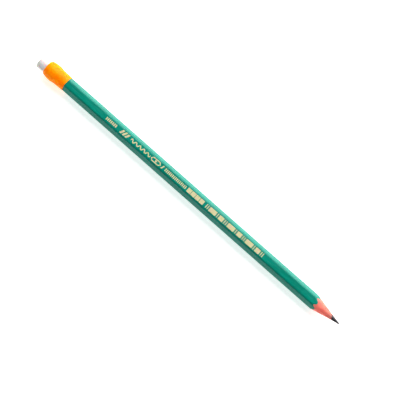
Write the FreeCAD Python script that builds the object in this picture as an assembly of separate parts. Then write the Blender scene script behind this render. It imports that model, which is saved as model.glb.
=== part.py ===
import FreeCAD, Part
import math
import os

# Graphite pencil with a co-extruded resin barrel, a moulded collar and a plug eraser.
# Millimetres. The pencil lies along X with its point towards +X. Z is up. The origin is under
# the middle of its length, at the height of the lowest point, which is the collar's bulge.

# Lengths along the pencil
TOTAL_LENGTH = 190.0
ERASER_OUT = 4.7            # the eraser's length outside the collar
ERASER_HELD = 5.6           # and inside it
COLLAR_WEB = 1.0            # wall between the collar's two sockets
SPIGOT_LENGTH = 5.9         # turned end of the barrel, inside the collar
LEAD_OUT = 4.5              # bare lead at the point

# Barrel
ACROSS_FLATS = 6.7
CORNER_RADIUS = 1.2
SKIN_THICKNESS = 0.15
SPIGOT_STEP = 0.2           # the spigot is turned this far below the core's own flats
SPIGOT_CHAMFER = 0.3
CONE_HALF_ANGLE = 12.8      # degrees, the sharpened cone

# Lead
LEAD_RADIUS = 1.15
POINT_RADIUS = 0.36         # the worn, rounded tip

# Eraser
ERASER_RADIUS = 3.35
ERASER_EDGE_RADIUS = 0.3

# Collar, outside
NOSE_LIP = 0.2              # wall of the lip round the eraser
BULGE_RISE = 0.38           # the bulge stands this far outside the waist
BULGE_FROM_NOSE = 4.2
SKIRT_TAPER = 0.2           # the waist stands this far outside the skirt's open end
WAIST_FROM_NOSE = 7.4
DOME_ROUNDNESS = 0.5        # how long the dome keeps its direction at each end of a curve
SKIRT_OVERHANG = 0.14       # the skirt's open end stands this far outside the barrel's corners
SKIRT_EDGE_RADIUS = 0.12

# Grip ribs, rings inside the collar that press into the eraser and the spigot
RIB_HEIGHT = 0.12
RIB_WIDTH = 0.5
ERASER_RIBS = 3
SPIGOT_RIBS = 2

# Hot-stamped foil on the upper flat
FOIL_THICKNESS = 0.03
FOIL_MARGIN = 0.1           # bare flat on either side of the tall marks
FOIL_SHIFT = -0.1           # the marks lie a little off the flat's middle line, towards -Y
STEPS_PER_WAVE = 12         # straight pieces in each wave of the foil ribbon

CLOSE = 0.001               # two places this near each other are the same place
OVERRUN = 1.0               # cutting tools run past what they cut by this much

APOTHEM = ACROSS_FLATS / 2
CORNER_REACH = CORNER_RADIUS + (APOTHEM - CORNER_RADIUS) / math.cos(math.radians(30))
FLAT_WIDTH = 2 * (APOTHEM - CORNER_RADIUS) * math.tan(math.radians(30))
SPIGOT_RADIUS = APOTHEM - SKIN_THICKNESS - SPIGOT_STEP
SKIRT_RADIUS = CORNER_REACH + SKIRT_OVERHANG
WAIST_RADIUS = SKIRT_RADIUS + SKIRT_TAPER
BULGE_RADIUS = WAIST_RADIUS + BULGE_RISE
FOIL_HEIGHT = FLAT_WIDTH - 2 * FOIL_MARGIN
COLLAR_LENGTH = ERASER_HELD + COLLAR_WEB + SPIGOT_LENGTH
AXIS_HEIGHT = BULGE_RADIUS
ERASER_END_X = -TOTAL_LENGTH / 2
NOSE_X = ERASER_END_X + ERASER_OUT
WEB_X = NOSE_X + ERASER_HELD
SPIGOT_END_X = WEB_X + COLLAR_WEB
SHOULDER_X = NOSE_X + COLLAR_LENGTH
TIP_X = TOTAL_LENGTH / 2
LEAD_EDGE_X = TIP_X - LEAD_OUT
SLOPE = math.tan(math.radians(CONE_HALF_ANGLE))
FLAT_Z = AXIS_HEIGHT + APOTHEM
ALONG = FreeCAD.Vector(1, 0, 0)
AXIS_POINT = FreeCAD.Vector(0, 0, AXIS_HEIGHT)


def point(x, radius):
    """A point of a half section: x along the pencil, radius above its axis."""
    return FreeCAD.Vector(x, 0, AXIS_HEIGHT + radius)


def wire_of(points):
    return Part.makePolygon(points + points[:1])


def bezier(poles):
    """A smooth edge that starts and ends along the lines to its middle poles."""
    curve = Part.BezierCurve()
    curve.setPoles(poles)
    return curve.toShape()


def turned(edges_or_points):
    """A solid of revolution round the pencil's axis from a closed half section."""
    first = edges_or_points[0]
    is_points = isinstance(first, FreeCAD.Vector)
    outline = wire_of(edges_or_points) if is_points else Part.Wire(edges_or_points)
    return Part.Face(outline).revolve(AXIS_POINT, ALONG, 360)


def rod(radius, start_x, end_x):
    """A plain round bar on the pencil's axis."""
    return Part.makeCylinder(radius, end_x - start_x, FreeCAD.Vector(start_x, 0, AXIS_HEIGHT), ALONG)


def hexagon_bar(apothem, corner_radius, start_x, end_x):
    """A six-sided bar with rounded corners and a flat facing +Z."""
    across_corner = apothem / math.cos(math.radians(30))
    corners = []
    for step in range(6):
        turn = math.radians(60 * step)
        y = across_corner * math.cos(turn)
        z = AXIS_HEIGHT + across_corner * math.sin(turn)
        corners.append(FreeCAD.Vector(start_x, y, z))
    sharp = Part.Face(wire_of(corners)).extrude(FreeCAD.Vector(end_x - start_x, 0, 0))
    long_edges = [e for e in sharp.Edges if abs(e.BoundBox.XLength - (end_x - start_x)) < CLOSE]
    return sharp.makeFillet(corner_radius, long_edges)


def sharpening_cone(reach):
    """Everything inside the sharpener's cone, from the lead's edge back to a radius of reach."""
    back_x = LEAD_EDGE_X - (reach - LEAD_RADIUS) / SLOPE
    return turned([
        point(ERASER_END_X, 0),
        point(ERASER_END_X, reach),
        point(back_x, reach),
        point(LEAD_EDGE_X, LEAD_RADIUS),
        point(LEAD_EDGE_X, 0),
    ])


def grip_rings(bore_radius, start_x, end_x, count):
    """Ring-shaped ribs, evenly spaced, that stand inwards from a bore of this radius."""
    pitch = (end_x - start_x) / (count + 1)
    half_width = RIB_WIDTH / 2
    rings = []
    for number in range(count):
        middle_x = start_x + pitch * (number + 1)
        rings.append(turned([
            point(middle_x - half_width, bore_radius),
            point(middle_x - half_width + RIB_HEIGHT, bore_radius - RIB_HEIGHT),
            point(middle_x + half_width - RIB_HEIGHT, bore_radius - RIB_HEIGHT),
            point(middle_x + half_width, bore_radius),
        ]))
    return rings


def eraser_rings():
    return grip_rings(ERASER_RADIUS, NOSE_X, WEB_X, ERASER_RIBS)


def spigot_rings():
    return grip_rings(SPIGOT_RADIUS, SPIGOT_END_X, SHOULDER_X, SPIGOT_RIBS)


def make_graphite_lead():
    """The lead: a round rod from the spigot's end to a slimmer cone with a rounded tip."""
    # The cone's side is tangent to the tip's ball, whose centre lies on the axis
    centre_x = TIP_X - POINT_RADIUS
    run = centre_x - LEAD_EDGE_X
    reach = math.hypot(run, LEAD_RADIUS)
    lean = math.atan2(LEAD_RADIUS, run) - math.asin(POINT_RADIUS / reach)
    tangent = point(centre_x + POINT_RADIUS * math.sin(lean), POINT_RADIUS * math.cos(lean))
    halfway = (math.pi / 2 - lean) / 2
    mid_arc = point(centre_x + POINT_RADIUS * math.cos(halfway), POINT_RADIUS * math.sin(halfway))
    start = point(SPIGOT_END_X, 0)
    rim = point(SPIGOT_END_X, LEAD_RADIUS)
    edge = point(LEAD_EDGE_X, LEAD_RADIUS)
    tip = point(TIP_X, 0)
    return turned([
        Part.LineSegment(start, rim).toShape(),
        Part.LineSegment(rim, edge).toShape(),
        Part.LineSegment(edge, tangent).toShape(),
        Part.Arc(tangent, mid_arc, tip).toShape(),
        Part.LineSegment(tip, start).toShape(),
    ])


def make_resin_core():
    """The pink casing: a hexagon inside the skin, a turned spigot, a bore and the cut cone."""
    inner_apothem = APOTHEM - SKIN_THICKNESS
    inner_corner = CORNER_RADIUS - SKIN_THICKNESS
    casing = hexagon_bar(inner_apothem, inner_corner, SHOULDER_X, LEAD_EDGE_X)
    casing = casing.common(sharpening_cone(APOTHEM * 2))
    spigot = turned([
        point(SPIGOT_END_X, 0),
        point(SPIGOT_END_X, SPIGOT_RADIUS - SPIGOT_CHAMFER),
        point(SPIGOT_END_X + SPIGOT_CHAMFER, SPIGOT_RADIUS),
        point(SHOULDER_X, SPIGOT_RADIUS),
        point(SHOULDER_X, 0),
    ])
    for ring in spigot_rings():
        spigot = spigot.cut(ring)
    whole = casing.fuse(spigot)
    return whole.cut(rod(LEAD_RADIUS, SPIGOT_END_X - OVERRUN, LEAD_EDGE_X + OVERRUN)).removeSplitter()


def make_green_skin():
    """The green outer layer, cut square at the shoulder and scalloped by the cone."""
    inner_apothem = APOTHEM - SKIN_THICKNESS
    inner_corner = CORNER_RADIUS - SKIN_THICKNESS
    outside = hexagon_bar(APOTHEM, CORNER_RADIUS, SHOULDER_X, LEAD_EDGE_X)
    inside = hexagon_bar(inner_apothem, inner_corner, SHOULDER_X - OVERRUN, LEAD_EDGE_X + OVERRUN)
    return outside.common(sharpening_cone(APOTHEM * 2)).cut(inside)


def make_collar():
    """The moulded collar: a domed nose, a waist, a slim skirt, two sockets and a web."""
    nose_radius = ERASER_RADIUS + NOSE_LIP
    bulge_x = NOSE_X + BULGE_FROM_NOSE
    waist_x = NOSE_X + WAIST_FROM_NOSE
    skirt_slope = (SKIRT_RADIUS - WAIST_RADIUS) / (SHOULDER_X - waist_x)
    front_handle = DOME_ROUNDNESS * BULGE_FROM_NOSE
    rear_handle = DOME_ROUNDNESS * (WAIST_FROM_NOSE - BULGE_FROM_NOSE)
    dome_front = bezier([
        point(NOSE_X, nose_radius),
        point(NOSE_X + DOME_ROUNDNESS * (BULGE_RADIUS - nose_radius), (nose_radius + BULGE_RADIUS) / 2),
        point(bulge_x - front_handle, BULGE_RADIUS),
        point(bulge_x, BULGE_RADIUS),
    ])
    dome_rear = bezier([
        point(bulge_x, BULGE_RADIUS),
        point(bulge_x + rear_handle, BULGE_RADIUS),
        point(waist_x - rear_handle, WAIST_RADIUS - skirt_slope * rear_handle),
        point(waist_x, WAIST_RADIUS),
    ])
    skirt_end = point(SHOULDER_X - SKIRT_EDGE_RADIUS, SKIRT_RADIUS)
    skirt_corner = point(SHOULDER_X, SKIRT_RADIUS - SKIRT_EDGE_RADIUS)
    bend = SKIRT_EDGE_RADIUS * math.sqrt(0.5)
    skirt_bend = point(
        SHOULDER_X - SKIRT_EDGE_RADIUS + bend,
        SKIRT_RADIUS - SKIRT_EDGE_RADIUS + bend,
    )
    inner = [
        point(SHOULDER_X, SPIGOT_RADIUS),
        point(SPIGOT_END_X + SPIGOT_CHAMFER, SPIGOT_RADIUS),
        point(SPIGOT_END_X, SPIGOT_RADIUS - SPIGOT_CHAMFER),
        point(SPIGOT_END_X, 0),
        point(WEB_X, 0),
        point(WEB_X, ERASER_RADIUS),
        point(NOSE_X, ERASER_RADIUS),
    ]
    edges = [
        dome_front,
        dome_rear,
        Part.LineSegment(point(waist_x, WAIST_RADIUS), skirt_end).toShape(),
        Part.Arc(skirt_end, skirt_bend, skirt_corner).toShape(),
        Part.LineSegment(skirt_corner, inner[0]).toShape(),
    ]
    for start, end in zip(inner, inner[1:]):
        edges.append(Part.LineSegment(start, end).toShape())
    edges.append(Part.LineSegment(inner[-1], point(NOSE_X, nose_radius)).toShape())
    body = turned(edges)
    for ring in eraser_rings() + spigot_rings():
        body = body.fuse(ring)
    return body.removeSplitter()


def make_eraser():
    """The eraser plug: a rounded outer edge, and grooves where the collar's ribs press in."""
    plug = rod(ERASER_RADIUS, ERASER_END_X, WEB_X)
    outer_rim = [e for e in plug.Edges if abs(e.BoundBox.XMax - ERASER_END_X) < CLOSE]
    plug = plug.makeFillet(ERASER_EDGE_RADIUS, outer_rim)
    for ring in eraser_rings():
        plug = plug.cut(ring)
    return plug


def foil_patch(outline):
    """A film of foil on the upper flat, from its outline as (distance from eraser end, across)."""
    corners = []
    for along, across in outline:
        corners.append(FreeCAD.Vector(ERASER_END_X + along, across + FOIL_SHIFT, FLAT_Z))
    return Part.Face(wire_of(corners)).extrude(FreeCAD.Vector(0, 0, FOIL_THICKNESS))


def foil_bar(start, width, height, slant=0.0, middle=0.0):
    """A bar across the flat, leaning forwards by slant at its upper end."""
    low = middle - height / 2
    high = middle + height / 2
    return foil_patch([
        (start, low),
        (start + width, low),
        (start + width + slant, high),
        (start + slant, high),
    ])


def foil_row(start, end, count, fill, height, slant=0.0, middle=0.0):
    """Equal bars between two places; fill is the share of each step that is foil."""
    step = (end - start - slant) / count
    bars = []
    for number in range(count):
        bars.append(foil_bar(start + number * step, step * fill, height, slant, middle))
    return bars


def make_foil_short_dashes():
    """A short row of small upright dashes, nearest the eraser."""
    return Part.makeCompound(foil_row(start=43.0, end=49.8, count=7, fill=0.7, height=1.5))


def make_foil_slant_bars():
    """Three tall leaning bars."""
    bars = foil_row(start=52.0, end=58.2, count=3, fill=0.66, height=FOIL_HEIGHT, slant=1.1)
    return Part.makeCompound(bars)


def make_foil_wave():
    """A flowing wavy ribbon of constant height."""
    start = 58.7
    length = 12.4
    waves = 5
    ribbon = 0.95
    swing = (FOIL_HEIGHT - ribbon) / 2 - FOIL_MARGIN
    steps = waves * STEPS_PER_WAVE
    upper = []
    lower = []
    for number in range(steps + 1):
        along = start + length * number / steps
        middle = swing * math.sin(2 * math.pi * waves * number / steps)
        upper.append((along, middle + ribbon / 2))
        lower.append((along, middle - ribbon / 2))
    return foil_patch(lower + upper[::-1])


def make_foil_badge():
    """A long six-sided frame with a dot in it, like the end view of a pencil."""
    middle = 74.7
    half_length = 3.1
    point_length = 1.0
    frame = 0.52
    dot_radius = 0.5
    tip_inset = 1.15         # a line this far inside moves the tips and shoulders by these shares
    shoulder_inset = 0.35

    def outline(inset):
        half = FOIL_HEIGHT / 2 - inset
        tip = half_length - inset * tip_inset
        shoulder = half_length - point_length - inset * shoulder_inset
        return [
            (middle - tip, 0),
            (middle - shoulder, -half),
            (middle + shoulder, -half),
            (middle + tip, 0),
            (middle + shoulder, half),
            (middle - shoulder, half),
        ]

    ring = foil_patch(outline(0)).cut(foil_patch(outline(frame)))
    dot_at = FreeCAD.Vector(ERASER_END_X + middle, FOIL_SHIFT, FLAT_Z)
    dot = Part.makeCylinder(dot_radius, FOIL_THICKNESS, dot_at)
    return Part.makeCompound([ring, dot])


def make_foil_slash():
    """One leaning stroke after the badge."""
    return foil_bar(start=78.2, width=0.7, height=FOIL_HEIGHT - 4 * FOIL_MARGIN, slant=0.8)


def make_foil_fine_dashes():
    """A long row of fine upright dashes."""
    return Part.makeCompound(foil_row(start=80.6, end=94.2, count=15, fill=0.62, height=1.6))


def make_foil_panel():
    """A nearly solid panel, parted by thin gaps."""
    return Part.makeCompound(foil_row(start=94.8, end=105.2, count=4, fill=0.93, height=FOIL_HEIGHT))


def make_foil_stripes():
    """A long run of thin and wide stripes in a repeating rhythm: thin, thin, wide, thin, middling."""
    widths = [0.45, 0.45, 4.3, 0.45, 2.8]
    gap = 0.6
    count = 17
    along = 106.6
    stripes = []
    for number in range(count):
        width = widths[number % len(widths)]
        stripes.append(foil_bar(along, width, FOIL_HEIGHT))
        along += width + gap
    return Part.makeCompound(stripes)


NODES = {
    "graphite_lead": make_graphite_lead,
    "resin_core": make_resin_core,
    "green_skin": make_green_skin,
    "collar": make_collar,
    "eraser": make_eraser,
    "foil_short_dashes": make_foil_short_dashes,
    "foil_slant_bars": make_foil_slant_bars,
    "foil_wave": make_foil_wave,
    "foil_badge": make_foil_badge,
    "foil_slash": make_foil_slash,
    "foil_fine_dashes": make_foil_fine_dashes,
    "foil_panel": make_foil_panel,
    "foil_stripes": make_foil_stripes,
}

os.makedirs("parts", exist_ok=True)
for node, make in NODES.items():
    shape = make()
    shape.exportStep(f"parts/{node}.step")
    box = shape.BoundBox
    print(node, "valid", shape.isValid(), "solids", len(shape.Solids), "volume", round(shape.Volume, 2))
    print("   x", round(box.XMin, 3), round(box.XMax, 3), "y", round(box.YMin, 3), round(box.YMax, 3),
          "z", round(box.ZMin, 3), round(box.ZMax, 3))
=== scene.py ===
import math
from collections import namedtuple

import bmesh
import bpy
from mathutils import Matrix, Vector, noise


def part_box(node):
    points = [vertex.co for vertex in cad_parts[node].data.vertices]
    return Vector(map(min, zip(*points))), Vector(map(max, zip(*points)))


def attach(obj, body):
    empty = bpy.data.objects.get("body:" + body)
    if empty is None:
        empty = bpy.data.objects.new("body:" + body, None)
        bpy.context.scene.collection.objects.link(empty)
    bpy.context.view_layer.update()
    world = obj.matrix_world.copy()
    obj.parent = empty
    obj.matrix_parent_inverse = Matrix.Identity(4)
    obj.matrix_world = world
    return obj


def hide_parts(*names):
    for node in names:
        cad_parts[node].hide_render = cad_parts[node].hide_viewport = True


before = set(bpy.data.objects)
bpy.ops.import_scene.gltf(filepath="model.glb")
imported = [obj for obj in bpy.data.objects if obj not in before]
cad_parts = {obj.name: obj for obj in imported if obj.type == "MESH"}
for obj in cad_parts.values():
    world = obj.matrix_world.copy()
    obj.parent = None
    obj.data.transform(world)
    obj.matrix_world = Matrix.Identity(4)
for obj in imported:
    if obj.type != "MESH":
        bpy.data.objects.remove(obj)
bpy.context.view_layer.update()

bl_info = {
    "name": "Graphite Pencil",
    "version": (1, 0, 0),
    "blender": (4, 5, 0),
    "location": "View3D > Sidebar > Pencil",
    "description": "Builds a resin graphite pencil with a moulded collar, an eraser and stamped foil",
    "category": "Add Mesh",
}

MM = 0.001
WELD = 0.0001 * MM

# Places and radii, read from the frame
SKIN_LOW, SKIN_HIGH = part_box("green_skin")
CORE_LOW, CORE_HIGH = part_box("resin_core")
LEAD_LOW, LEAD_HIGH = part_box("graphite_lead")
COLLAR_LOW, COLLAR_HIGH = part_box("collar")
ERASER_LOW, ERASER_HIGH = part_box("eraser")
AXIS_Z = (SKIN_LOW[2] + SKIN_HIGH[2]) / 2
SHOULDER_X = SKIN_LOW[0]
LEAD_EDGE_X = CORE_HIGH[0]
SPIGOT_END_X = CORE_LOW[0]
WEB_X = ERASER_HIGH[0]
NOSE_X = COLLAR_LOW[0]
ERASER_END_X = ERASER_LOW[0]
TIP_X = LEAD_HIGH[0]
APOTHEM = (SKIN_HIGH[2] - SKIN_LOW[2]) / 2
CORNER_REACH = (SKIN_HIGH[1] - SKIN_LOW[1]) / 2
INNER_APOTHEM = (CORE_HIGH[2] - CORE_LOW[2]) / 2
LEAD_RADIUS = (LEAD_HIGH[1] - LEAD_LOW[1]) / 2
BULGE_RADIUS = (COLLAR_HIGH[1] - COLLAR_LOW[1]) / 2
ERASER_RADIUS = (ERASER_HIGH[1] - ERASER_LOW[1]) / 2
FLAT_Z = AXIS_Z + APOTHEM

# A hexagon's reach and apothem give the radius of its rounded corners
SHARPNESS = 1 / math.cos(math.radians(30))
CORNER_RADIUS = (APOTHEM * SHARPNESS - CORNER_REACH) / (SHARPNESS - 1)
SKIN_THICKNESS = APOTHEM - INNER_APOTHEM

# The chamfer on the turned spigot, and the same one at the bottom of its socket
SPIGOT_CHAMFER = 0.3 * MM
ERASER_RIBS = 3


# Settings

def srgb(text):
    """Linear colour from an sRGB hex value."""
    channels = [int(text[k:k + 2], 16) / 255 for k in (1, 3, 5)]
    return [c / 12.92 if c <= 0.04045 else ((c + 0.055) / 1.055) ** 2.4 for c in channels] + [1.0]


def length(name, description, default):
    """A length setting, in metres."""
    return bpy.props.FloatProperty(name=name, description=description, default=default,
                                   precision=5, subtype="DISTANCE", unit="LENGTH")


def colour(name, description, default):
    """A colour setting, with its default as sRGB hex."""
    return bpy.props.FloatVectorProperty(name=name, description=description, default=srgb(default),
                                         size=4, min=0.0, max=1.0, subtype="COLOR")


class PencilBarrelSettings(bpy.types.PropertyGroup):
    cone_half_angle: bpy.props.FloatProperty(
        name="Cone half angle", description="Half the sharpened cone's angle",
        default=math.radians(12.8), subtype="ANGLE", unit="ROTATION")
    spigot_radius: length("Spigot radius", "Turned end of the barrel inside the collar", 3.0 * MM)
    point_radius: length("Point radius", "The lead's worn tip", 0.36 * MM)
    sharpened_off: length(
        "Sharpened off", "The cone's axis beside the barrel's, from a hand sharpener", 0.12 * MM)
    skin_colour: colour("Skin", "Green resin skin", "#009380")
    core_colour: colour("Core", "Salmon resin core", "#F38A74")
    lead_colour: colour("Lead", "Graphite lead", "#4A484B")


class PencilCollarSettings(bpy.types.PropertyGroup):
    bulge_from_nose: length("Bulge from nose", "Where the dome is widest", 4.2 * MM)
    waist_from_nose: length("Waist from nose", "Where the dome meets the skirt", 7.4 * MM)
    bulge_rise: length("Bulge rise", "The bulge outside the waist", 0.38 * MM)
    skirt_taper: length("Skirt taper", "The waist outside the skirt's open end", 0.2 * MM)
    nose_lip: length("Nose lip", "Wall of the lip round the eraser", 0.2 * MM)
    rib_height: length("Rib height", "Grip ribs inside the sockets", 0.12 * MM)
    rib_width: length("Rib width", "Grip ribs inside the sockets", 0.5 * MM)
    parting_line: length("Parting line", "Width of the mould's parting line", 0.12 * MM)
    collar_colour: colour("Collar", "Moulded collar", "#FFA800")
    eraser_colour: colour("Eraser", "Vinyl eraser", "#FDF8F4")


class PencilFoilSettings(bpy.types.PropertyGroup):
    thickness: length("Thickness", "Foil above the flat", 0.03 * MM)
    ragged: length("Ragged edge", "How uneven the stamped edges are", 0.035 * MM)
    shift: length("Shift", "Marks off the flat's middle line", -0.1 * MM)
    foil_colour: colour("Foil", "Pale gold foil", "#ECE7B4")


class PencilStageSettings(bpy.types.PropertyGroup):
    camera_distance: length("Camera distance", "From the pencil to the lens", 1.1)
    lens: bpy.props.FloatProperty(name="Lens", description="Focal length in millimetres", default=209.6)
    lean: bpy.props.FloatProperty(
        name="Lean", description="How far the camera stands towards the point",
        default=math.radians(8), subtype="ANGLE", unit="ROTATION")
    turn: bpy.props.FloatProperty(
        name="Turn", description="How far the camera stands to the side of the stamped flat",
        default=math.radians(8), subtype="ANGLE", unit="ROTATION")
    roll: bpy.props.FloatProperty(
        name="Roll", description="How far the pencil slopes down across the view",
        default=math.radians(41.37), subtype="ANGLE", unit="ROTATION")
    aim_along: length(
        "Aim along", "The view's centre, from the pencil's middle towards the point", 7.18 * MM)
    aim_across: length("Aim across", "The view's centre to the side of the pencil's axis", 0.43 * MM)
    floor_colour: colour("Floor", "Pale floor", "#FAFAF9")


# Meshes

def on_axis(x, y, z):
    """A point given from the pencil's axis."""
    return Vector((x, y, AXIS_Z + z))


def link(name, data):
    """A new object in the scene for this mesh, light or camera."""
    made = bpy.data.objects.new(name, data)
    bpy.context.scene.collection.objects.link(made)
    return made


def as_piece(name, bm):
    """Turns a finished bmesh into a linked object with its faces outward."""
    bmesh.ops.recalc_face_normals(bm, faces=bm.faces)
    mesh = bpy.data.meshes.new(name)
    bm.to_mesh(mesh)
    bm.free()
    return link(name, mesh)


def finish_piece(piece, material, replaced=(), sharp=30):
    """Shades, paints and hands a piece over to the frame."""
    piece.data.materials.clear()
    piece.data.materials.append(material)
    piece.data.shade_smooth()
    piece.data.set_sharp_from_angle(angle=math.radians(sharp))
    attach(piece, "root")
    if replaced:
        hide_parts(*replaced)
    return piece


def loft(name, rings):
    """A closed skin through rings of points in order, joined back to the first ring. A ring of one
    point is a pole; without poles at its ends the result is a tube with an inside."""
    bm = bmesh.new()
    rows = [[bm.verts.new(p) for p in ring] for ring in rings]
    is_tube = len(rows[0]) > 1 and len(rows[-1]) > 1
    pairs = list(zip(rows, rows[1:])) + ([(rows[-1], rows[0])] if is_tube else [])
    for low, high in pairs:
        count = max(len(low), len(high))
        if count == 1:
            continue
        for k in range(count):
            n = (k + 1) % count
            corners = [low[k % len(low)], low[n % len(low)], high[n % len(high)], high[k % len(high)]]
            bm.faces.new(list(dict.fromkeys(corners)))
    bmesh.ops.remove_doubles(bm, verts=bm.verts, dist=WELD)
    return as_piece(name, bm)


def turned(profile, segments, shape=None):
    """Rings turned round the axis from (x, radius) pairs; shape may change each point's radius."""
    rings = []
    for x, radius in profile:
        if radius == 0:
            rings.append([on_axis(x, 0, 0)])
            continue
        ring = []
        for k in range(segments):
            angle = 2 * math.pi * k / segments
            r = radius if shape is None else shape(x, radius, angle)
            ring.append(on_axis(x, r * math.cos(angle), r * math.sin(angle)))
        rings.append(ring)
    return rings


def bezier(poles, steps):
    """Points along a cubic curve, without its last point."""
    points = []
    for k in range(steps):
        t = k / steps
        weights = ((1 - t) ** 3, 3 * t * (1 - t) ** 2, 3 * t * t * (1 - t), t ** 3)
        points.append(tuple(sum(w * p[i] for w, p in zip(weights, poles)) for i in (0, 1)))
    return points


def arc(centre, radius, start, end, steps):
    """Points (x, radius) along an arc, both ends included; angles in degrees from +X."""
    points = []
    for k in range(steps + 1):
        a = math.radians(start + (end - start) * k / steps)
        points.append((centre[0] + radius * math.cos(a), centre[1] + radius * math.sin(a)))
    return points


def straight(start, end, steps):
    """Points from start towards end, without its last point."""
    return [tuple(a + (b - a) * k / steps for a, b in zip(start, end)) for k in range(steps)]


def hexagon(apothem, corner_radius, arc_steps=8, flat_steps=8):
    """(y, z) points round a rounded hexagon with flats facing up and down."""
    centre_reach = (apothem - corner_radius) * SHARPNESS
    corners = []
    for k in range(6):
        turn = math.radians(60 * k)
        centre = (centre_reach * math.cos(turn), centre_reach * math.sin(turn))
        corners.append(arc(centre, corner_radius, 60 * k - 30, 60 * k + 30, arc_steps))
    points = []
    for corner, following in zip(corners, corners[1:] + corners[:1]):
        points += corner[:-1] + straight(corner[-1], following[0], flat_steps)
    return points


def cone_x(y, z, settings):
    """Where the sharpener's cone, a little to one side of the barrel's axis, reaches this point."""
    radius = math.hypot(y + settings.sharpened_off, z)
    return LEAD_EDGE_X - (radius - LEAD_RADIUS) / math.tan(settings.cone_half_angle)


def cone_ends(section, settings):
    """How far along each corner of a section runs before the cone cuts it."""
    return [cone_x(y, z, settings) for y, z in section]


def section_ring(section, ends, share, scale=1.0):
    """A section at this share of the way from the shoulder to where the cone cuts it."""
    return [on_axis(SHOULDER_X + (end - SHOULDER_X) * share, y * scale, z * scale)
            for (y, z), end in zip(section, ends)]


def round_ring(x, radius, angles):
    """Points round a circle, one at each angle."""
    return [on_axis(x, radius * math.cos(a), radius * math.sin(a)) for a in angles]


def with_ribs(start, end, radius, count, settings):
    """A socket's wall from start to end as (x, radius) points, with ribs that stand inwards."""
    pitch = (end - start) / (count + 1)
    half, high = settings.rib_width / 2, settings.rib_height
    points = [(start, radius)]
    for k in range(count):
        middle = start + pitch * (k + 1)
        points += [(middle - half, radius), (middle - half + high, radius - high),
                   (middle + half - high, radius - high), (middle + half, radius)]
    return points + [(end, radius)]


# Materials

def node(tree, kind, inputs=None, stops=(), **settings):
    """Adds a node. inputs gives {input: value, or the output to link}, stops a ramp's places with
    their colours or greys, and settings the node's own properties."""
    made = tree.nodes.new(kind)
    for name, value in settings.items():
        setattr(made, name, value)
    for name, value in (inputs or {}).items():
        if isinstance(value, bpy.types.NodeSocket):
            tree.links.new(value, made.inputs[name])
        else:
            made.inputs[name].default_value = value
    for number, (place, value) in enumerate(stops):
        elements = made.color_ramp.elements
        element = elements[number] if number < len(elements) else elements.new(place)
        element.position = place
        element.color = value if isinstance(value, list) else [value, value, value, 1]
    return made


# A Mix node's sockets for colours share their names with those for numbers, so they go by number
MIX_A, MIX_B, MIX_RESULT = 6, 7, 2


class Finish:
    """One material under way: its tree, its shader and the patterns laid over it."""

    def __init__(self, name):
        self.material = bpy.data.materials.new(name)
        self.material.use_nodes = True
        self.tree = self.material.node_tree
        self.shader = self.tree.nodes["Principled BSDF"]
        self.place = node(self.tree, "ShaderNodeTexCoord").outputs["Object"]

    def add(self, kind, inputs=None, stops=(), output=0, **settings):
        """Adds a node to this material and returns one of its outputs."""
        return node(self.tree, kind, inputs, stops, **settings).outputs[output]

    def pattern(self, spacing, kind="ShaderNodeTexNoise", output="Fac", **inputs):
        """A texture whose unit is spacing millimetres along each axis of the object."""
        scale = [1 / (step * MM) for step in spacing]
        place = self.add("ShaderNodeMapping", {"Vector": self.place, "Scale": scale})
        inputs.update({"Vector": place, "Scale": 1.0})
        return self.add(kind, inputs, output=output)

    def vary(self, name, source):
        """Drives one of the shader's inputs by a pattern."""
        self.tree.links.new(source, self.shader.inputs[name])

    def relief(self, *layers):
        """Stacks (pattern, height in mm, strength) as the surface's relief."""
        below = {}
        for source, height, strength in layers:
            inputs = {"Height": source, "Distance": height * MM, "Strength": strength, **below}
            below = {"Normal": self.add("ShaderNodeBump", inputs)}
        self.vary("Normal", below["Normal"])

    def done(self, **even):
        """Sets what is even all over the surface, and returns the material."""
        for name, value in even.items():
            self.shader.inputs[name.replace("_", " ")].default_value = value
        return self.material


def extruded_resin_skin(settings):
    """Styrene resin skin, extruded and drawn through a die: a wet-looking gloss, faint lines along
    its length, soft cloudy pigment and a few pale handling scuffs."""
    made = Finish("styrene_resin_extruded")
    green = list(settings.skin_colour)
    clouds = made.pattern((9, 1.6, 1.6), Detail=4)
    shade = made.add("ShaderNodeValToRGB", {"Fac": clouds}, [
        (0.3, srgb("#008975")), (0.55, green), (0.75, srgb("#009B84"))])
    scuffs = made.pattern((1.7, 0.35, 0.35), Detail=6, Roughness=0.7)
    scuffed = made.add("ShaderNodeValToRGB", {"Fac": scuffs}, [(0.63, 0.0), (0.78, 0.35)])
    made.vary("Base Color", made.add(
        "ShaderNodeMix", {"Factor": scuffed, MIX_A: shade, MIX_B: srgb("#7CC7B8")},
        output=MIX_RESULT, data_type="RGBA"))
    gloss = made.pattern((4, 0.5, 0.5), Detail=5)
    finish = made.add("ShaderNodeValToRGB", {"Fac": gloss}, [(0.3, 0.16), (0.7, 0.34)])
    made.vary("Roughness", finish)
    ripple = made.pattern((5, 1.2, 1.2), Detail=2)
    die_lines = made.pattern((40, 0.16, 0.16), Detail=2)
    made.relief((ripple, 0.05, 0.35), (die_lines, 0.012, 0.5), (scuffs, 0.02, 0.3))
    return made.done(IOR=1.5, Specular_IOR_Level=0.35)


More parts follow.
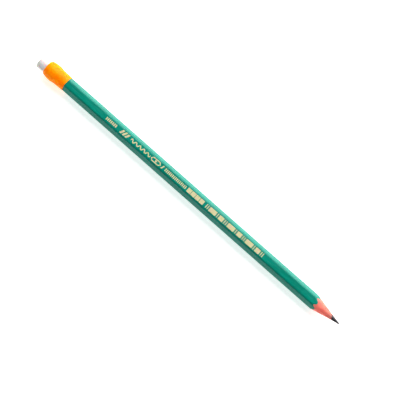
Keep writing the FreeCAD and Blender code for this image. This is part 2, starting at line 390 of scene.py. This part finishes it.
def foamed_resin_core(settings):
    """Foamed resin cut by a sharpener: matt and even, with fine rings left by the blade, tiny pale
    cells instead of wood grain, light that soaks in, and a painted pink glow that keeps its shaded side
    pink."""
    made = Finish("foamed_resin_sharpened")
    salmon = list(settings.core_colour)
    patches = made.pattern((2.5, 1.4, 1.4), Detail=3)
    body = made.add("ShaderNodeValToRGB", {"Fac": patches}, [
        (0.3, srgb("#E57A68")), (0.55, salmon), (0.8, srgb("#F79F86"))])
    cells = made.pattern((0.22, 0.22, 0.22), "ShaderNodeTexVoronoi", "Distance")
    celled = made.add("ShaderNodeValToRGB", {"Fac": cells}, [(0.1, 0.4), (0.3, 0.0)])
    made.vary("Base Color", made.add(
        "ShaderNodeMix", {"Factor": celled, MIX_A: body, MIX_B: srgb("#FFBFA8")},
        output=MIX_RESULT, data_type="RGBA"))
    rings = made.pattern((0.28, 6, 6), Detail=3)
    finish = made.add("ShaderNodeValToRGB", {"Fac": rings}, [(0.3, 0.5), (0.7, 0.72)])
    made.vary("Roughness", finish)
    made.relief((rings, 0.05, 0.5), (cells, 0.02, 0.4))
    # Subsurface lets light soak in; the emission is a painted pink glow that keeps the shaded side pink
    return made.done(
        IOR=1.5, Subsurface_Weight=0.8, Subsurface_Scale=3.0 * MM, Subsurface_Radius=(1.0, 0.6, 0.5),
        Emission_Color=srgb("#EC6074"), Emission_Strength=0.17)


def fired_graphite(settings):
    """Graphite and clay, fired and then shaved to a point: dark grey with a greasy metallic sheen,
    blade marks round it and bright flecks where flakes lie flat."""
    made = Finish("graphite_fired")
    grain = made.pattern((0.3, 0.3, 0.3), Detail=5, Roughness=0.6)
    grey = list(settings.lead_colour)
    body = made.add("ShaderNodeValToRGB", {"Fac": grain}, [
        (0.35, srgb("#333135")), (0.55, grey), (0.72, srgb("#77757A"))])
    made.vary("Base Color", body)
    marks = made.pattern((0.2, 1.5, 1.5), Detail=4)
    finish = made.add("ShaderNodeValToRGB", {"Fac": marks}, [(0.35, 0.26), (0.65, 0.5)])
    made.vary("Roughness", finish)
    made.relief((marks, 0.05, 0.6), (grain, 0.02, 0.4))
    return made.done(Metallic=0.45)


def moulded_polypropylene(settings):
    """Polypropylene, injection moulded and slightly see-through: a waxy gloss, light carried round inside
    it, a painted orange glow that keeps its shaded side orange and the faint orange peel of the mould."""
    made = Finish("polypropylene_moulded")
    yellow = list(settings.collar_colour)
    flow = made.pattern((6, 3, 3), Detail=2)
    body = made.add("ShaderNodeValToRGB", {"Fac": flow}, [
        (0.3, srgb("#FF9E00")), (0.55, yellow), (0.75, srgb("#FFB200"))])
    made.vary("Base Color", body)
    peel = made.pattern((0.7, 0.7, 0.7), Detail=3)
    finish = made.add("ShaderNodeValToRGB", {"Fac": peel}, [(0.3, 0.34), (0.7, 0.44)])
    made.vary("Roughness", finish)
    made.relief((peel, 0.03, 0.3), (flow, 0.1, 0.25))
    # Subsurface carries red light round to the shaded side; the emission is a painted orange glow that
    # keeps that side orange even where little light reaches it
    return made.done(
        IOR=1.49, Subsurface_Weight=0.6, Subsurface_Scale=3.0 * MM, Subsurface_Radius=(1.0, 0.15, 0.02),
        Specular_IOR_Level=0.14, Emission_Color=srgb("#FF4200"), Emission_Strength=0.26)


def extruded_vinyl(settings):
    """Vinyl eraser, extruded and cut to length: matt white, a little see-through, with fine pores
    and a faint grey bloom where it has picked up graphite."""
    made = Finish("vinyl_extruded")
    smudge = made.pattern((1.5, 2.2, 2.2), Detail=5)
    white = list(settings.eraser_colour)
    body = made.add("ShaderNodeValToRGB", {"Fac": smudge}, [(0.45, white), (0.8, srgb("#D9D8D6"))])
    made.vary("Base Color", body)
    pores = made.pattern((0.18, 0.18, 0.18), Detail=4)
    finish = made.add("ShaderNodeValToRGB", {"Fac": pores}, [(0.3, 0.62), (0.7, 0.82)])
    made.vary("Roughness", finish)
    made.relief((pores, 0.02, 0.5), (smudge, 0.06, 0.3))
    return made.done(IOR=1.5, Subsurface_Weight=0.5, Subsurface_Scale=1.0 * MM)


def stamped_foil(settings):
    """Aluminised gold film, hot stamped: a pale mirror broken by fine creases, warmer and greener in
    places where the film thins over the green."""
    made = Finish("gold_film_hot_stamped")
    patches = made.pattern((1.1, 0.8, 0.8), Detail=4, Roughness=0.6)
    gold = list(settings.foil_colour)
    body = made.add("ShaderNodeValToRGB", {"Fac": patches}, [
        (0.3, srgb("#D2D49C")), (0.48, gold), (0.62, srgb("#EBCCB4")), (0.8, srgb("#F7F4D2"))])
    made.vary("Base Color", body)
    creases = made.pattern((0.25, 0.25, 0.25), Detail=5, Roughness=0.65)
    finish = made.add("ShaderNodeValToRGB", {"Fac": creases}, [(0.3, 0.3), (0.7, 0.5)])
    made.vary("Roughness", finish)
    made.relief((creases, 0.01, 0.6))
    return made.done(Metallic=0.6)


def shared_foil(settings):
    """The foil's material, made by whichever foil operator runs first."""
    return bpy.data.materials.get("gold_film_hot_stamped") or stamped_foil(settings)


def paper_sweep(settings):
    """Uncoated white card, rolled: matt, very slightly cloudy, and lit through so shade on it stays
    light."""
    made = Finish("card_uncoated")
    fibres = made.pattern((40, 40, 40), Detail=2)
    white = list(settings.floor_colour)
    body = made.add("ShaderNodeValToRGB", {"Fac": fibres}, [(0.3, white), (0.7, srgb("#FDFDFC"))])
    made.vary("Base Color", body)
    return made.done(
        Roughness=0.9, Specular_IOR_Level=0.1, Emission_Color=(1, 1, 1, 1), Emission_Strength=0.55)


# Geometry Nodes

BAR_CORNER = 0.08 * MM


def stamp_tree():
    """One row of foil bars: a line of points, a ragged-edged bar on each, leaned and thickened."""
    tree = bpy.data.node_groups.new("foil_bar_row", "GeometryNodeTree")
    face = tree.interface
    sizes = {
        "Start": 0.0, "Across": 0.0, "Step": 1 * MM, "Width": 0.5 * MM, "Height": 2 * MM,
        "Lean": 0.0, "Corner": BAR_CORNER, "Ragged": 0.03 * MM, "Thickness": 0.03 * MM, "Level": 0.0,
    }
    face.new_socket("Count", in_out="INPUT", socket_type="NodeSocketInt")
    face.new_socket("Seed", in_out="INPUT", socket_type="NodeSocketInt")
    for name, default in sizes.items():
        face.new_socket(name, in_out="INPUT", socket_type="NodeSocketFloat").default_value = default
    face.new_socket("Foil", in_out="INPUT", socket_type="NodeSocketMaterial")
    face.new_socket("Geometry", in_out="OUTPUT", socket_type="NodeSocketGeometry")
    given = node(tree, "NodeGroupInput").outputs
    edge_step, tear_spacing, weld = 0.11 * MM, 0.22 * MM, 0.002 * MM

    def add(kind, inputs=None, output=0, **settings):
        return node(tree, kind, inputs, **settings).outputs[output]

    # One bar's outline, with rounded corners and points close enough together to be ragged
    box = add("GeometryNodeCurvePrimitiveQuadrilateral", {
        "Width": given["Width"], "Height": given["Height"]})
    rounded = add("GeometryNodeFilletCurve", {
        "Curve": box, "Radius": given["Corner"], "Count": 3, "Limit Radius": True}, mode="POLY")
    even = add("GeometryNodeResampleCurve", {"Curve": rounded, "Length": edge_step}, mode="LENGTH")

    # A copy at each place along the row, realized so that each one's edge can differ
    start = add("ShaderNodeCombineXYZ", {"X": given["Start"], "Y": given["Across"]})
    offset = add("ShaderNodeCombineXYZ", {"X": given["Step"]})
    line = add("GeometryNodeMeshLine", {"Count": given["Count"], "Start Location": start, "Offset": offset})
    placed = add("GeometryNodeInstanceOnPoints", {"Points": line, "Instance": even})
    loose = add("GeometryNodeRealizeInstances", {"Geometry": placed})

    # Each point is pulled about by noise, and sideways by the lean
    here = add("GeometryNodeInputPosition")
    seed_shift = add("ShaderNodeCombineXYZ", {"Z": given["Seed"]})
    where = add("ShaderNodeVectorMath", {0: here, "Scale": 1 / tear_spacing}, operation="SCALE")
    seeded = add("ShaderNodeVectorMath", {0: where, 1: seed_shift}, operation="ADD")
    uneven = add("ShaderNodeTexNoise", {"Vector": seeded, "Scale": 1.0, "Detail": 2.0}, "Color")
    centred = add("ShaderNodeVectorMath", {0: uneven, 1: (0.5, 0.5, 0.5)}, operation="SUBTRACT")
    doubled = add("ShaderNodeMath", {0: given["Ragged"], 1: 2.0}, operation="MULTIPLY")
    pull = add("ShaderNodeVectorMath", {0: centred, "Scale": doubled}, operation="SCALE")
    across = add("ShaderNodeSeparateXYZ", {"Vector": here}, "Y")
    off_middle = add("ShaderNodeMath", {0: across, 1: given["Across"]}, operation="SUBTRACT")
    share = add("ShaderNodeMath", {0: off_middle, 1: given["Height"]}, operation="DIVIDE")
    forwards = add("ShaderNodeMath", {0: share, 1: given["Lean"]}, operation="MULTIPLY")
    leaned = add("ShaderNodeCombineXYZ", {"X": forwards})
    moved = add("ShaderNodeVectorMath", {0: pull, 1: leaned}, operation="ADD")
    flat = add("ShaderNodeVectorMath", {0: moved, 1: (1, 1, 0)}, operation="MULTIPLY")
    shaped = add("GeometryNodeSetPosition", {"Geometry": loose, "Offset": flat})

    # The outlines are filled, thickened, closed underneath and lifted to the flat
    filled = add("GeometryNodeFillCurve", {"Curve": shaped}, mode="NGONS")
    thick = add("GeometryNodeExtrudeMesh", {
        "Mesh": filled, "Offset Scale": given["Thickness"], "Individual": False})
    under = add("GeometryNodeFlipFaces", {"Mesh": filled})
    joined = node(tree, "GeometryNodeJoinGeometry")
    tree.links.new(thick, joined.inputs[0])
    tree.links.new(under, joined.inputs[0])
    welded = add("GeometryNodeMergeByDistance", {
        "Geometry": joined.outputs[0], "Distance": weld})
    level = add("ShaderNodeCombineXYZ", {"Z": given["Level"]})
    lifted = add("GeometryNodeTransform", {"Geometry": welded, "Translation": level})
    real = add("GeometryNodeRealizeInstances", {"Geometry": lifted})
    painted = add("GeometryNodeSetMaterial", {"Geometry": real, "Material": given["Foil"]})
    node(tree, "NodeGroupOutput", {"Geometry": painted})
    return tree


def stamp_row(tree, values):
    """Runs the tree on an empty mesh and returns the result as a plain mesh."""
    carrier = link("foil_row_carrier", bpy.data.meshes.new("foil_row_carrier"))
    modifier = carrier.modifiers.new("row", "NODES")
    modifier.node_group = tree
    for item in tree.interface.items_tree:
        if item.in_out == "INPUT" and item.name in values:
            modifier[item.identifier] = values[item.name]
    bpy.context.view_layer.update()
    ready = carrier.evaluated_get(bpy.context.evaluated_depsgraph_get())
    mesh = bpy.data.meshes.new_from_object(ready)
    carrier.modifiers.remove(modifier)
    bpy.data.objects.remove(carrier)
    return mesh


def across(name):
    """A foil node's height across the flat, in millimetres."""
    low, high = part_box(name)
    return (high[1] - low[1]) / MM


# A row of bars in millimetres, its start counted from the eraser's end
Row = namedtuple("Row", "start step count width height lean", defaults=(0.0,))


def stamp_piece(name, rows, foil, settings):
    """One foil node's worth of rows, joined in one mesh."""
    tree = bpy.data.node_groups.get("foil_bar_row") or stamp_tree()
    bm = bmesh.new()
    for number, row in enumerate(rows):
        mesh = stamp_row(tree, {
            "Count": row.count, "Seed": number + 1, "Foil": foil,
            "Start": ERASER_END_X + (row.start + (row.width + row.lean) / 2) * MM,
            "Across": settings.shift, "Step": row.step * MM, "Width": row.width * MM,
            "Height": row.height * MM, "Lean": row.lean * MM, "Corner": BAR_CORNER,
            "Ragged": settings.ragged, "Thickness": settings.thickness, "Level": FLAT_Z,
        })
        bm.from_mesh(mesh)
        bpy.data.meshes.remove(mesh)
    return finish_piece(as_piece(name, bm), foil, [name.replace("film", "foil")])


def film(outlines, settings):
    """A foil film from closed outlines in millimetres; the second outline, if any, is a hole."""
    bm = bmesh.new()
    for level in (0, 1):
        for outline in outlines:
            for along, across in outline:
                bm.verts.new((ERASER_END_X + along * MM, settings.shift + across * MM,
                              FLAT_Z + level * settings.thickness))
    bm.verts.ensure_lookup_table()
    total = sum(len(o) for o in outlines)
    start = 0
    for outline in outlines:
        count = len(outline)
        for k in range(count):
            n = (k + 1) % count
            bm.faces.new([bm.verts[start + k], bm.verts[start + n],
                          bm.verts[total + start + n], bm.verts[total + start + k]])
        start += count
    count = len(outlines[0])
    for level in (0, total):
        if len(outlines) == 1:
            bm.faces.new([bm.verts[level + k] for k in range(count)])
            continue
        for k in range(count):
            n = (k + 1) % count
            bm.faces.new([bm.verts[level + k], bm.verts[level + n],
                          bm.verts[level + count + n], bm.verts[level + count + k]])
    return bm


# Operators

class PENCIL_OT_barrel_skin(bpy.types.Operator):
    """Builds the green skin: a six-sided tube with a square shoulder and a scalloped cut end"""
    bl_idname = "pencil.barrel_skin"
    bl_label = "Barrel skin"

    def execute(self, context):
        settings = context.scene.pencil_barrel
        outer = hexagon(APOTHEM, CORNER_RADIUS)
        inner = hexagon(INNER_APOTHEM, CORNER_RADIUS - SKIN_THICKNESS)
        edge_round, edge_share, end_share = 0.06 * MM, 0.0004, 0.998
        steps_outside, steps_inside = 60, 12
        along = [0.0, edge_share, 5 * edge_share]
        along += [k / steps_outside for k in range(1, steps_outside)] + [end_share, 1.0]
        outer_ends, inner_ends = cone_ends(outer, settings), cone_ends(inner, settings)
        rings = []
        for share in along:
            inset = edge_round * max(0.0, 1 - share / edge_share)
            rings.append(section_ring(outer, outer_ends, share, 1 - inset / APOTHEM))
        for k in range(steps_inside, -1, -1):
            rings.append(section_ring(inner, inner_ends, k / steps_inside))
        skin = loft("barrel_skin", rings)
        finish_piece(skin, extruded_resin_skin(settings), ["green_skin"])
        return {"FINISHED"}


class PENCIL_OT_core(bpy.types.Operator):
    """Builds the salmon core: the shaved cone, the hexagon under the skin and the turned spigot"""
    bl_idname = "pencil.core"
    bl_label = "Resin core"

    def execute(self, context):
        settings = context.scene.pencil_barrel
        section = hexagon(INNER_APOTHEM, CORNER_RADIUS - SKIN_THICKNESS)
        angles = [math.atan2(z, y) for y, z in section]
        ends = cone_ends(section, settings)
        blade_pitch, blade_depth = 0.55 * MM, 0.008 * MM
        steps_held, steps_cone, steps_bore = 10, 56, 8
        spigot = settings.spigot_radius
        rings = [
            round_ring(SPIGOT_END_X, spigot - SPIGOT_CHAMFER, angles),
            round_ring(SPIGOT_END_X + SPIGOT_CHAMFER, spigot, angles),
            round_ring(SHOULDER_X, spigot, angles),
        ]
        for k in range(steps_held + 1):
            rings.append(section_ring(section, ends, k / steps_held))
        for k in range(1, steps_cone + 1):
            share = k / steps_cone
            ring = []
            for (y, z), angle in zip(section, angles):
                reach = math.hypot(y, z)
                radius = reach + (LEAD_RADIUS - reach) * share
                y, z = radius * math.cos(angle), radius * math.sin(angle)
                x = cone_x(y, z, settings)
                groove = 0.5 + 0.5 * math.cos(2 * math.pi * x / blade_pitch + angle)
                sunk = 1 - blade_depth * groove * math.sin(math.pi * share) / radius
                ring.append(on_axis(x, y * sunk, z * sunk))
            rings.append(ring)
        mouth = [point.x for point in rings[-1]]
        for k in range(1, steps_bore + 1):
            rings.append([on_axis(x + (SPIGOT_END_X - x) * k / steps_bore, LEAD_RADIUS * math.cos(a),
                                  LEAD_RADIUS * math.sin(a)) for x, a in zip(mouth, angles)])
        core = loft("resin_core_cone", rings)
        finish_piece(core, foamed_resin_core(settings), ["resin_core"])
        return {"FINISHED"}


class PENCIL_OT_lead(bpy.types.Operator):
    """Builds the lead: a rod, a shaved cone with shallow blade facets and a worn, uneven tip"""
    bl_idname = "pencil.lead"
    bl_label = "Graphite lead"

    def execute(self, context):
        settings = context.scene.pencil_barrel
        tip_radius, off = settings.point_radius, settings.sharpened_off
        centre_x = TIP_X - tip_radius
        run = centre_x - LEAD_EDGE_X
        reach = math.hypot(run, LEAD_RADIUS)
        lean = math.atan2(LEAD_RADIUS, run) - math.asin(tip_radius / reach)
        ball = arc((centre_x, 0), tip_radius, 90 - math.degrees(lean), 0, 10)
        segments, rod_steps, cone_steps = 72, 8, 40
        facet_depth, crumb_depth = 0.012 * MM, 0.03 * MM
        angles = [2 * math.pi * k / segments for k in range(segments)]

        def edge_x(angle):
            """Where the off-axis cone leaves the round rod."""
            return cone_x(LEAD_RADIUS * math.cos(angle), LEAD_RADIUS * math.sin(angle), settings)

        rings = [[on_axis(SPIGOT_END_X, 0, 0)]]
        for k in range(rod_steps + 1):
            rings.append([on_axis(SPIGOT_END_X + (edge_x(a) - SPIGOT_END_X) * k / rod_steps,
                                  LEAD_RADIUS * math.cos(a), LEAD_RADIUS * math.sin(a)) for a in angles])
        edge = rings[-1]
        for k in range(1, cone_steps + len(ball) - 1):
            share = min(1, k / cone_steps)
            x, radius = ball[max(0, k - cone_steps)]
            ring = []
            for start, a in zip(edge, angles):
                facets = facet_depth * abs(math.sin(4.5 * a + 9 * share))
                place = Vector((9 * share, 2 * math.cos(a), 2 * math.sin(a)))
                crumbs = crumb_depth * noise.noise(place)
                r = radius - (facets + abs(crumbs)) * min(1, 6 * share)
                end = on_axis(x, r * math.cos(a) - off, r * math.sin(a))
                ring.append(start.lerp(end, share))
            rings.append(ring)
        rings.append([on_axis(TIP_X, -off, 0)])
        lead = loft("lead_point", rings)
        finish_piece(lead, fired_graphite(settings), ["graphite_lead"], sharp=60)
        return {"FINISHED"}


class PENCIL_OT_collar(bpy.types.Operator):
    """Builds the moulded collar: domed nose, waist, skirt, two sockets, a web and a parting line"""
    bl_idname = "pencil.collar"
    bl_label = "Moulded collar"

    def execute(self, context):
        settings = context.scene.pencil_collar
        spigot_radius = context.scene.pencil_barrel.spigot_radius
        nose_radius = ERASER_RADIUS + settings.nose_lip
        bulge_x = NOSE_X + settings.bulge_from_nose
        waist_x = NOSE_X + settings.waist_from_nose
        waist_radius = BULGE_RADIUS - settings.bulge_rise
        skirt_radius = waist_radius - settings.skirt_taper
        slope = (skirt_radius - waist_radius) / (SHOULDER_X - waist_x)
        front, rear = 0.5 * settings.bulge_from_nose, 0.5 * (waist_x - bulge_x)
        lip, rim, seam = 0.08 * MM, 0.12 * MM, 0.018 * MM
        steps_nose, steps_waist, steps_skirt, segments = 28, 24, 20, 144
        seam_angle = math.radians(100)
        profile = [(NOSE_X, ERASER_RADIUS), (NOSE_X, nose_radius - lip)]
        profile += bezier([
            (NOSE_X + lip * 0.4, nose_radius),
            (NOSE_X + 0.5 * (BULGE_RADIUS - nose_radius), (nose_radius + BULGE_RADIUS) / 2),
            (bulge_x - front, BULGE_RADIUS),
            (bulge_x, BULGE_RADIUS),
        ], steps_nose)
        profile += bezier([
            (bulge_x, BULGE_RADIUS),
            (bulge_x + rear, BULGE_RADIUS),
            (waist_x - rear, waist_radius - slope * rear),
            (waist_x, waist_radius),
        ], steps_waist)
        profile += straight((waist_x, waist_radius), (SHOULDER_X - rim, skirt_radius), steps_skirt)
        profile += arc((SHOULDER_X - rim, skirt_radius - rim), rim, 90, 0, 5)
        profile += [
            (SHOULDER_X, spigot_radius),
            (SPIGOT_END_X + SPIGOT_CHAMFER, spigot_radius),
            (SPIGOT_END_X, spigot_radius - SPIGOT_CHAMFER),
            (SPIGOT_END_X, 0),
        ]
        socket = with_ribs(NOSE_X, WEB_X, ERASER_RADIUS, ERASER_RIBS, settings)
        behind = [(WEB_X, 0)] + socket[::-1]

        def moulded(x, radius, angle):
            """Leaves a fine raised line down both sides, where the mould's halves met."""
            if radius < ERASER_RADIUS + 0.5 * settings.nose_lip:
                return radius
            away = abs(math.sin(angle - seam_angle)) * radius
            return radius - seam + seam * math.exp(-(away / settings.parting_line) ** 2)

        collar = loft("collar_shell", turned(profile, segments, moulded) + turned(behind, segments))
        finish_piece(collar, moulded_polypropylene(settings), ["collar"], sharp=35)
        return {"FINISHED"}


class PENCIL_OT_eraser(bpy.types.Operator):
    """Builds the eraser plug: a soft rounded rim, a faintly dished end and the ribs' grooves"""
    bl_idname = "pencil.eraser"
    bl_label = "Eraser plug"

    def execute(self, context):
        settings = context.scene.pencil_collar
        rim, dish, dish_floor, worn = 0.45 * MM, 0.05 * MM, 0.3 * MM, 0.03 * MM
        segments = 96
        profile = [(ERASER_END_X + dish, 0)]
        profile += straight((ERASER_END_X + dish, dish_floor), (ERASER_END_X, ERASER_RADIUS - rim), 10)
        profile += arc((ERASER_END_X + rim, ERASER_RADIUS - rim), rim, 180, 90, 10)
        profile += straight((ERASER_END_X + rim, ERASER_RADIUS), (NOSE_X, ERASER_RADIUS), 12)[1:]
        profile += with_ribs(NOSE_X, WEB_X, ERASER_RADIUS, ERASER_RIBS, settings)
        profile += [(WEB_X, 0)]

        def rubbed(x, radius, angle):
            """Wears the bare end unevenly, and leaves the held end as it was cut."""
            if x > NOSE_X:
                return radius
            place = Vector((x / MM, 1.3 * math.cos(angle), 1.3 * math.sin(angle)))
            dent = worn * (0.5 + 0.5 * noise.noise(place))
            return radius - dent * min(1, (NOSE_X - x) / MM)

        eraser = loft("eraser_plug", turned(profile, segments, rubbed))
        finish_piece(eraser, extruded_vinyl(settings), ["eraser"])
        return {"FINISHED"}


class PENCIL_OT_foil_rows(bpy.types.Operator):
    """Builds the rows of stamped bars on the upper flat"""
    bl_idname = "pencil.foil_rows"
    bl_label = "Foil rows"

    def execute(self, context):
        settings = context.scene.pencil_foil
        foil = shared_foil(settings)
        tall = across("foil_panel")

        def row(start, end, count, fill, height, lean=0.0):
            """Bars that share a run evenly; fill is how much of its step each one covers."""
            step = (end - start - lean) / count
            return [Row(start, step, count, step * fill, height, lean)]

        dashes = row(start=43.0, end=49.8, count=7, fill=0.7, height=1.5)
        stamp_piece("film_short_dashes", dashes, foil, settings)
        slanted = row(start=52.0, end=58.2, count=3, fill=0.66, height=tall, lean=1.1)
        stamp_piece("film_slant_bars", slanted, foil, settings)
        slash = Row(start=78.2, step=1, count=1, width=0.7, height=across("foil_slash"), lean=0.8)
        stamp_piece("film_slash", [slash], foil, settings)
        fine = row(start=80.6, end=94.2, count=15, fill=0.62, height=1.6)
        stamp_piece("film_fine_dashes", fine, foil, settings)
        panel = row(start=94.8, end=105.2, count=4, fill=0.93, height=tall)
        stamp_piece("film_panel", panel, foil, settings)

        # The stripes repeat one rhythm of widths, and each width is a row of its own
        rhythm, gap, start, stripes = (0.45, 0.45, 4.3, 0.45, 2.8), 0.6, 106.6, 17
        period = sum(rhythm) + gap * len(rhythm)
        rows = []
        for number, width in enumerate(rhythm):
            repeats = len(range(number, stripes, len(rhythm)))
            rows.append(Row(start, period, repeats, width, tall))
            start += width + gap
        stamp_piece("film_stripes", rows, foil, settings)
        return {"FINISHED"}


class PENCIL_OT_foil_figures(bpy.types.Operator):
    """Builds the stamped wave and the six-sided badge on the upper flat"""
    bl_idname = "pencil.foil_figures"
    bl_label = "Foil figures"

    def execute(self, context):
        settings = context.scene.pencil_foil
        foil = shared_foil(settings)
        self.wave(foil, settings)
        self.badge(foil, settings)
        return {"FINISHED"}

    def keep(self, name, bm, replaced, foil):
        finish_piece(as_piece(name, bm), foil, [replaced])

    def wave(self, foil, settings):
        start, run, waves, ribbon, steps = 58.7, 12.4, 5, 0.95, 150
        swing = (across("foil_wave") - ribbon) / 2
        ring = []
        for side in (-1, 1):
            order = range(steps + 1) if side < 0 else range(steps, -1, -1)
            for k in order:
                share = k / steps
                middle = swing * math.sin(2 * math.pi * waves * share)
                swell = ribbon * (0.9 + 0.2 * math.cos(4 * math.pi * waves * share))
                along = start + run * share
                ring.append((along, middle + side * swell / 2))
        self.keep("film_wave", self.strip(ring, steps + 1, settings), "foil_wave", foil)

    def strip(self, ring, count, settings):
        """A closed ribbon whose outline runs out along one side and back along the other."""
        bm = bmesh.new()
        low, high = [[bm.verts.new((ERASER_END_X + a * MM, settings.shift + b * MM, FLAT_Z + level))
                      for a, b in ring] for level in (0, settings.thickness)]
        total = len(ring)
        for k in range(total):
            n = (k + 1) % total
            bm.faces.new([low[k], low[n], high[n], high[k]])
        for k in range(count - 1):
            across = total - 1 - k
            bm.faces.new([high[k], high[k + 1], high[across - 1], high[across]])
            bm.faces.new([low[across], low[across - 1], low[k + 1], low[k]])
        return bm

    def badge(self, foil, settings):
        middle, half_length, point, line = 74.7, 3.1, 1.0, 0.52
        tip_pull, shoulder_pull = 1.15, 0.35
        dot_radius, dot_sides = 0.5, 24
        tall = across("foil_badge")

        def outline(inset):
            half = tall / 2 - inset
            tip = half_length - inset * tip_pull
            shoulder = half_length - point - inset * shoulder_pull
            return [(middle - tip, 0), (middle - shoulder, -half), (middle + shoulder, -half),
                    (middle + tip, 0), (middle + shoulder, half), (middle - shoulder, half)]

        bm = film([outline(0), outline(line)], settings)
        round_dot = arc((0, 0), dot_radius, 0, 360 - 360 / dot_sides, dot_sides - 1)
        dot = film([[(middle + x, y) for x, y in round_dot]], settings)
        spare = bpy.data.meshes.new("dot")
        dot.to_mesh(spare)
        dot.free()
        bm.from_mesh(spare)
        bpy.data.meshes.remove(spare)
        self.keep("film_badge", bm, "foil_badge", foil)


# The stage, in metres and watts
FLOOR_REACH = 4.0
KEY_PLACE = (0.0, 0.98, 0.82)
KEY_SIZE = 1.5
KEY_POWER = 22


class PENCIL_OT_stage(bpy.types.Operator):
    """Builds the pale floor, the soft studio light and the camera"""
    bl_idname = "pencil.stage"
    bl_label = "Stage"

    def execute(self, context):
        settings = context.scene.pencil_stage
        self.floor(settings)
        self.lights(context)
        self.camera(context, settings)
        return {"FINISHED"}

    def floor(self, settings):
        bm = bmesh.new()
        bmesh.ops.create_grid(bm, x_segments=2, y_segments=2, size=FLOOR_REACH)
        mesh = bpy.data.meshes.new("floor")
        bm.to_mesh(mesh)
        bm.free()
        floor = link("floor", mesh)
        mesh.materials.append(paper_sweep(settings))

    def lights(self, context):
        world = bpy.data.worlds.new("studio")
        world.use_nodes = True
        tree = world.node_tree
        direction = node(tree, "ShaderNodeTexCoord").outputs["Generated"]
        parts = node(tree, "ShaderNodeSeparateXYZ", {"Vector": direction}).outputs
        walls = node(tree, "ShaderNodeMapRange", {"Value": parts["Z"], "To Min": 1.0, "To Max": 0.1})
        side = node(tree, "ShaderNodeMapRange", {"Value": parts["Y"], "From Min": -1.0, "To Min": 0.3})
        room = node(tree, "ShaderNodeMath", {0: walls.outputs["Result"], 1: side.outputs["Result"]},
                    operation="MULTIPLY")
        tree.links.new(room.outputs[0], tree.nodes["Background"].inputs["Strength"])
        tree.nodes["Background"].inputs["Color"].default_value = (1, 1, 1, 1)
        context.scene.world = world
        lamp = bpy.data.lights.new("key", "AREA")
        lamp.size = KEY_SIZE
        lamp.energy = KEY_POWER
        key = link("key", lamp)
        key.location = KEY_PLACE
        key.rotation_mode = "QUATERNION"
        key.rotation_quaternion = (-Vector(KEY_PLACE)).to_track_quat("-Z", "Y")
        context.scene.view_settings.view_transform = "Standard"
        context.scene.view_settings.look = "Medium High Contrast"

    def camera(self, context, settings):
        """Stands over the stamped flat, towards the point and to one side, and rolled."""
        back = Vector((
            math.sin(settings.lean),
            -math.sin(settings.turn) * math.cos(settings.lean),
            math.cos(settings.turn) * math.cos(settings.lean),
        ))
        along = (Vector((1, 0, 0)) - back * back.x).normalized()
        across = back.cross(along)
        right = along * math.cos(settings.roll) + across * math.sin(settings.roll)
        up = back.cross(right)
        aim = on_axis(settings.aim_along, settings.aim_across, 0)
        data = bpy.data.cameras.new("camera")
        data.lens = settings.lens
        data.sensor_width = 36
        data.clip_start, data.clip_end = 0.05, 20
        camera = link("camera", data)
        turn = [[right[k], up[k], back[k]] for k in range(3)]
        camera.rotation_mode = "QUATERNION"
        camera.location = aim + back * settings.camera_distance
        camera.rotation_quaternion = Matrix(turn).to_quaternion()
        context.scene.camera = camera


class PENCIL_PT_panel(bpy.types.Panel):
    """Lists the pencil's settings and builders"""
    bl_idname = "PENCIL_PT_panel"
    bl_label = "Graphite Pencil"
    bl_space_type = "VIEW_3D"
    bl_region_type = "UI"
    bl_category = "Pencil"

    def draw(self, context):
        layout = self.layout
        for operator in OPERATORS:
            layout.operator(operator.bl_idname)
        for group_name in SETTINGS:
            group = getattr(context.scene, group_name)
            box = layout.box()
            for name in group.__annotations__:
                box.prop(group, name)


SETTINGS = {
    "pencil_barrel": PencilBarrelSettings,
    "pencil_collar": PencilCollarSettings,
    "pencil_foil": PencilFoilSettings,
    "pencil_stage": PencilStageSettings,
}
OPERATORS = (
    PENCIL_OT_stage,
    PENCIL_OT_barrel_skin,
    PENCIL_OT_core,
    PENCIL_OT_lead,
    PENCIL_OT_collar,
    PENCIL_OT_eraser,
    PENCIL_OT_foil_rows,
    PENCIL_OT_foil_figures,
)


def register():
    for item in (*SETTINGS.values(), *OPERATORS, PENCIL_PT_panel):
        bpy.utils.register_class(item)
    for name, group in SETTINGS.items():
        setattr(bpy.types.Scene, name, bpy.props.PointerProperty(type=group))


def unregister():
    for name in SETTINGS:
        delattr(bpy.types.Scene, name)
    for item in (PENCIL_PT_panel, *reversed(OPERATORS), *reversed(list(SETTINGS.values()))):
        bpy.utils.unregister_class(item)


def main():
    register()
    for operator in OPERATORS:
        family, name = operator.bl_idname.split(".")
        getattr(getattr(bpy.ops, family), name)()


if __name__ == "__main__":
    main()
